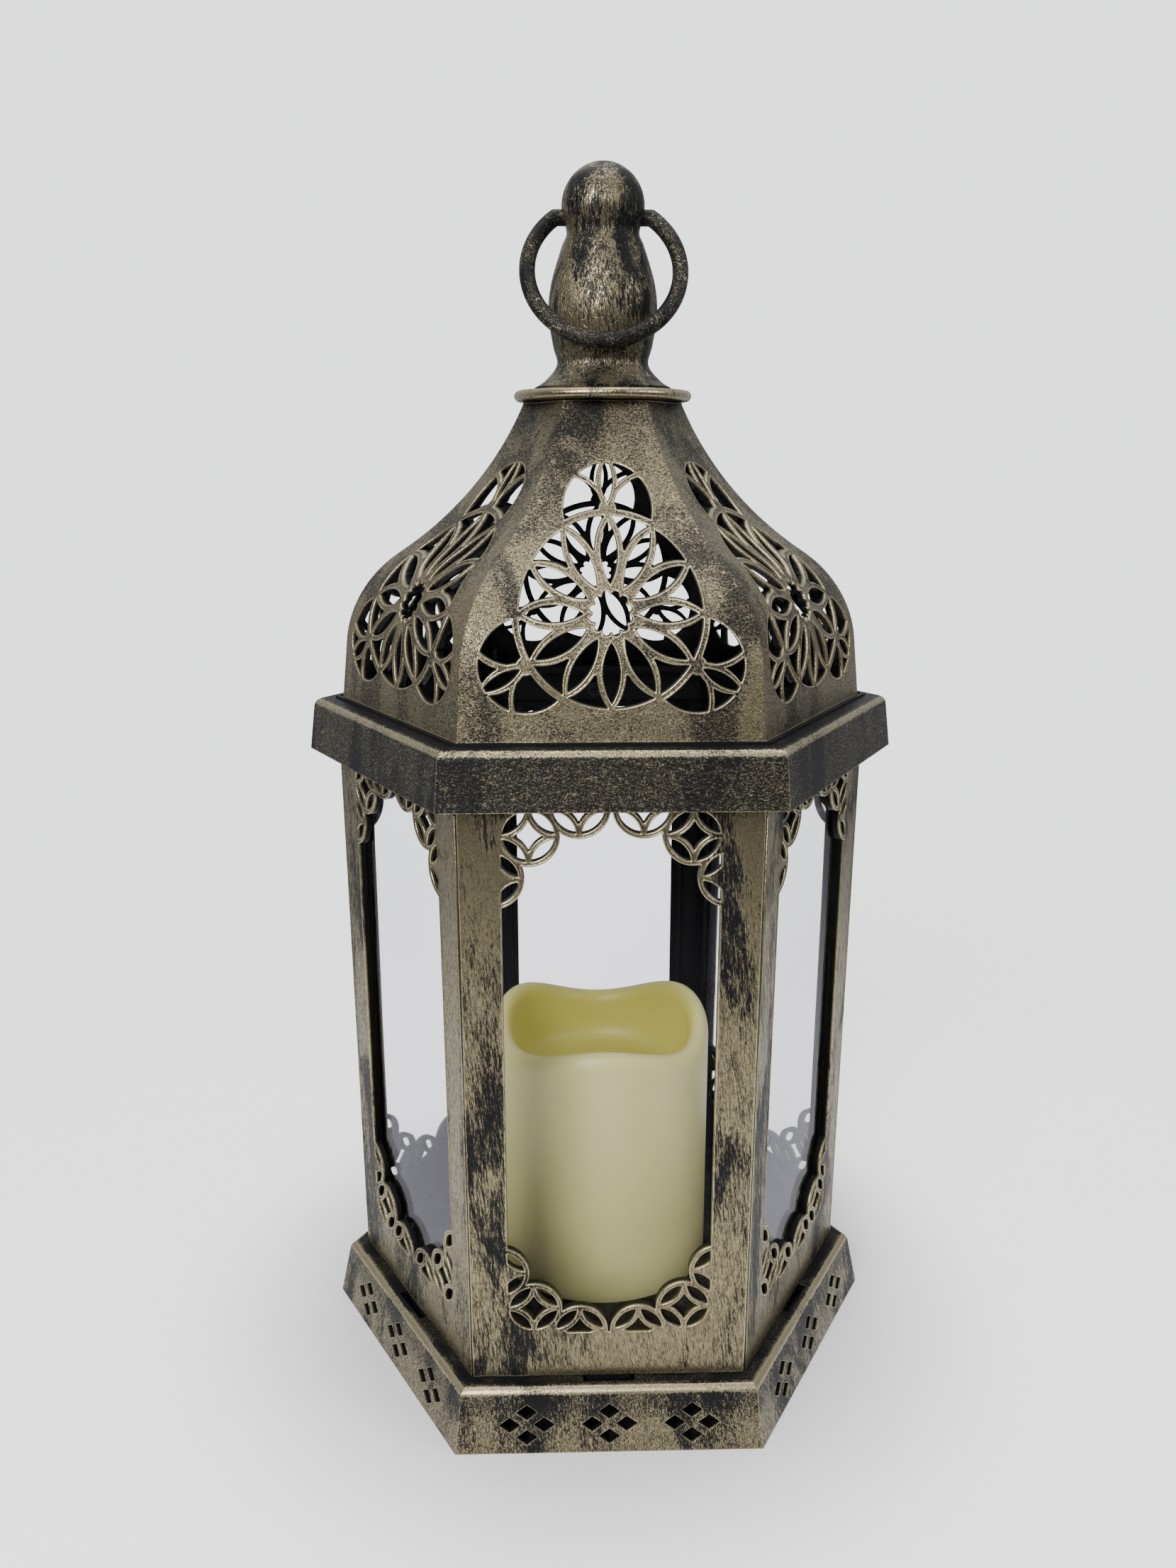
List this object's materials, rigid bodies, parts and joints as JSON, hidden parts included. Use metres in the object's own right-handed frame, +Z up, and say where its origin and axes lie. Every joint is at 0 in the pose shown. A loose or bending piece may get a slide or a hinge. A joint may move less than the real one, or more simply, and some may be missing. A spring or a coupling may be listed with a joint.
{
  "type": "moroccan lantern",
  "caption": "Six-sided lantern with pierced panels, an ogee dome, a swinging carrying ring and a battery pillar candle that lights its clear windows.",
  "frame": {"origin": "centre of the base at the floor", "axes": "+Z up; a flat side and its window face -Y, corners lie on +X and -X"},
  "size_m": [0.1914, 0.1658, 0.3819],
  "materials": {
    "bronze_paint": "black plastic dry-brushed with champagne bronze paint",
    "bronze_paint_dark": "black plastic with a thinner coat of bronze paint",
    "bronze_wire": "bronze-painted wire",
    "clear_pane": "clear glossy sheet",
    "wax": "smooth cream wax",
    "black_plastic": "moulded black plastic",
    "grey_plastic": "moulded grey plastic",
    "zinc_steel": "zinc plated",
    "black_steel": "blackened",
    "cell_sleeve": "plain printed sleeve",
    "circuit_green": "solder-masked board",
    "wire_red": "insulated wire",
    "led_amber": "tinted lens"
  },
  "bodies": {
    "base": {"base_plinth": "bronze_paint"},
    "housing": {"panel_front": "bronze_paint", "panel_front_right": "bronze_paint", "panel_rear_right": "bronze_paint", "panel_rear": "bronze_paint", "panel_rear_left": "bronze_paint", "panel_front_left": "bronze_paint", "pane_front": "clear_pane", "pane_front_right": "clear_pane", "pane_rear_right": "clear_pane", "pane_rear": "clear_pane", "pane_rear_left": "clear_pane", "pane_front_left": "clear_pane", "cornice": "bronze_paint", "panel_screws": "black_steel", "dome": "bronze_paint", "dome_screws": "black_steel", "finial": "bronze_paint_dark", "finial_screw": "zinc_steel", "finial_washer": "zinc_steel"},
    "handle": {"ring_handle": "bronze_wire"},
    "candle": {"candle_shell": "wax", "candle_base": "black_plastic", "batteries": "cell_sleeve", "battery_contacts": "zinc_steel", "circuit_board": "circuit_green", "battery_wires": "wire_red", "led_post": "black_plastic", "led_lamp": "led_amber", "switch_body": "black_plastic"},
    "battery_door": {"battery_door": "black_plastic"},
    "switch": {"switch_knob": "grey_plastic"}
  },
  "joints": [
    {"name": "housing_lift", "type": "slide", "parent": "base", "child": "housing", "axis": [0, 0, 1], "range_m": [0, 0.12]},
    {"name": "handle_swing", "type": "hinge", "parent": "housing", "child": "handle", "pos_m": [0, 0, 0.3663], "axis": [-1, 0, 0], "range_deg": [0, 307]},
    {"name": "candle_lift", "type": "slide", "parent": "base", "child": "candle", "axis": [0, 0, 1], "range_m": [0, 0.06]},
    {"name": "battery_door_swing", "type": "hinge", "parent": "candle", "child": "battery_door", "pos_m": [0, 0.026, 0.0187], "axis": [1, 0, 0], "range_deg": [0, 90]},
    {"name": "switch_slide", "type": "slide", "parent": "candle", "child": "switch", "axis": [0, 1, 0], "range_m": [0, 0.004]}
  ]
}
